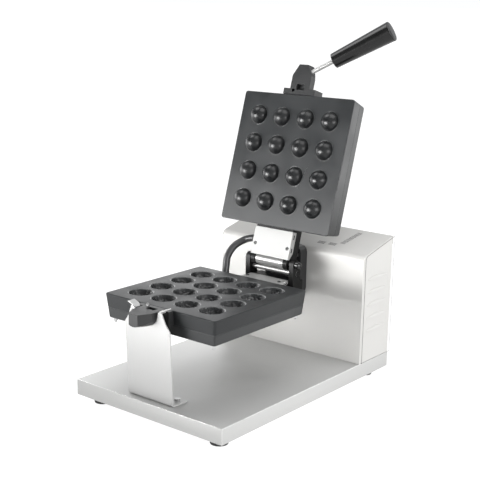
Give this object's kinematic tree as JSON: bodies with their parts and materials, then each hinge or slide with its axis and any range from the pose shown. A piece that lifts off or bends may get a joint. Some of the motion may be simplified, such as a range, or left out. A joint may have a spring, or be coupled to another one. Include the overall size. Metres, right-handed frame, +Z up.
{
  "type": "countertop walnut cookie maker",
  "caption": "Countertop walnut cookie maker: hinged domed and hollowed moulds turn over together between a front cradle and a stainless control box",
  "frame": {"origin": "on the table under the middle of the machine's overall outline", "axes": "X to the operator's right, Y from the operator to the rear, Z up"},
  "size_m": [0.3138, 0.501, 0.6178],
  "materials": {
    "base_tray": "brushed stainless sheet",
    "base_pan": "plain stainless sheet",
    "foot_left_front": "moulded rubber",
    "foot_left_rear": "moulded rubber",
    "foot_right_front": "moulded rubber",
    "foot_right_rear": "moulded rubber",
    "cradle_bracket": "bright stainless strip",
    "cradle_screw_1": "steel screw",
    "cradle_screw_2": "steel screw",
    "box_wrap": "brushed stainless sheet",
    "box_side_left": "brushed stainless sheet",
    "box_side_right": "brushed stainless sheet",
    "box_rear_panel": "plain stainless sheet",
    "cable_gland": "black nylon",
    "head_block": "black painted casting",
    "head_bolt_1": "steel bolt",
    "head_bolt_2": "steel bolt",
    "head_bolt_3": "steel bolt",
    "head_bolt_4": "steel bolt",
    "bearing_backplate": "mill plate",
    "bearing_sleeve": "turned bronze",
    "spindle": "turned steel",
    "spindle_nut": "turned steel",
    "temperature_knob": "satin black plastic",
    "temperature_shaft": "turned steel",
    "temperature_body": "moulded plastic",
    "timer_knob": "satin black plastic",
    "timer_shaft": "turned steel",
    "timer_body": "moulded plastic",
    "power_lamp": "clear green lens",
    "heating_lamp": "clear amber lens",
    "power_switch_frame": "moulded plastic",
    "power_rocker": "moulded plastic",
    "terminal_block": "moulded ceramic",
    "hinge_frame": "black casting",
    "hinge_bolt": "bright plated steel",
    "hinge_nut": "black domed cap nut",
    "stop_rod": "polished steel rod",
    "lower_mould_plate": "dark non-stick coated casting",
    "lower_mould_back": "dark coated casting",
    "lower_heater": "sheathed tubular heater",
    "lower_insulation": "fibre mat",
    "front_lug": "black casting",
    "locating_pin": "bright steel pin",
    "lower_hinge_cover": "polished stainless sheet",
    "lower_conduit_gland": "black nylon",
    "heater_conduit": "flexible black conduit",
    "upper_mould_plate": "dark non-stick coated casting",
    "upper_mould_back": "dark coated casting",
    "upper_heater": "sheathed tubular heater",
    "upper_insulation": "fibre mat",
    "handle_block": "black casting",
    "handle_rod": "bright threaded rod",
    "handle_grip": "black heat resistant plastic",
    "grip_cap": "black heat resistant plastic",
    "hinge_arm": "black casting",
    "hinge_sleeve": "polished stainless tube",
    "upper_hinge_cover": "polished stainless sheet",
    "upper_conduit_gland": "black nylon"
  },
  "bodies": {
    "stand": {"base_tray": "base_tray", "base_pan": "base_pan", "foot_left_front": "foot_left_front", "foot_left_rear": "foot_left_rear", "foot_right_front": "foot_right_front", "foot_right_rear": "foot_right_rear", "cradle_bracket": "cradle_bracket", "cradle_screw_1": "cradle_screw_1", "cradle_screw_2": "cradle_screw_2", "box_wrap": "box_wrap", "box_side_left": "box_side_left", "box_side_right": "box_side_right", "box_rear_panel": "box_rear_panel", "cable_gland": "cable_gland", "head_block": "head_block", "head_bolt_1": "head_bolt_1", "head_bolt_2": "head_bolt_2", "head_bolt_3": "head_bolt_3", "head_bolt_4": "head_bolt_4", "bearing_backplate": "bearing_backplate", "bearing_sleeve": "bearing_sleeve", "temperature_body": "temperature_body", "timer_body": "timer_body", "power_lamp": "power_lamp", "heating_lamp": "heating_lamp", "power_switch_frame": "power_switch_frame", "terminal_block": "terminal_block"},
    "turning_frame": {"spindle": "spindle", "spindle_nut": "spindle_nut", "hinge_frame": "hinge_frame", "hinge_bolt": "hinge_bolt", "hinge_nut": "hinge_nut", "stop_rod": "stop_rod", "lower_mould_plate": "lower_mould_plate", "lower_mould_back": "lower_mould_back", "lower_heater": "lower_heater", "lower_insulation": "lower_insulation", "front_lug": "front_lug", "locating_pin": "locating_pin", "lower_hinge_cover": "lower_hinge_cover", "lower_conduit_gland": "lower_conduit_gland", "heater_conduit": "heater_conduit"},
    "lid": {"upper_mould_plate": "upper_mould_plate", "upper_mould_back": "upper_mould_back", "upper_heater": "upper_heater", "upper_insulation": "upper_insulation", "handle_block": "handle_block", "handle_rod": "handle_rod", "handle_grip": "handle_grip", "grip_cap": "grip_cap", "hinge_arm": "hinge_arm", "hinge_sleeve": "hinge_sleeve", "upper_hinge_cover": "upper_hinge_cover", "upper_conduit_gland": "upper_conduit_gland"},
    "temperature_dial": {"temperature_knob": "temperature_knob", "temperature_shaft": "temperature_shaft"},
    "timer_dial": {"timer_knob": "timer_knob", "timer_shaft": "timer_shaft"},
    "rocker": {"power_rocker": "power_rocker"}
  },
  "joints": [
    {"name": "turn_over", "type": "hinge", "parent": "stand", "child": "turning_frame", "pos_m": [0, 0.13, 0.1885], "axis": [0, 1, 0], "range_deg": [-30, 30]},
    {"name": "lid_hinge", "type": "hinge", "parent": "turning_frame", "child": "lid", "pos_m": [0, 0.0918, 0.2083], "axis": [1, 0, 0], "range_deg": [0, 106.4], "deforming": ["heater_conduit"]},
    {"name": "temperature_turn", "type": "hinge", "parent": "stand", "child": "temperature_dial", "pos_m": [-0.08, 0.216, 0.2473], "axis": [0, -0.2319, 0.9727], "range_deg": [-270, 0]},
    {"name": "timer_turn", "type": "hinge", "parent": "stand", "child": "timer_dial", "pos_m": [-0.028, 0.216, 0.2473], "axis": [0, -0.2319, 0.9727], "range_deg": [-300, 0]},
    {"name": "rocker_tilt", "type": "hinge", "parent": "stand", "child": "rocker", "pos_m": [0.018, 0.21658, 0.24486], "axis": [0, 0.9727, 0.2319], "range_deg": [-18, 0]}
  ]
}
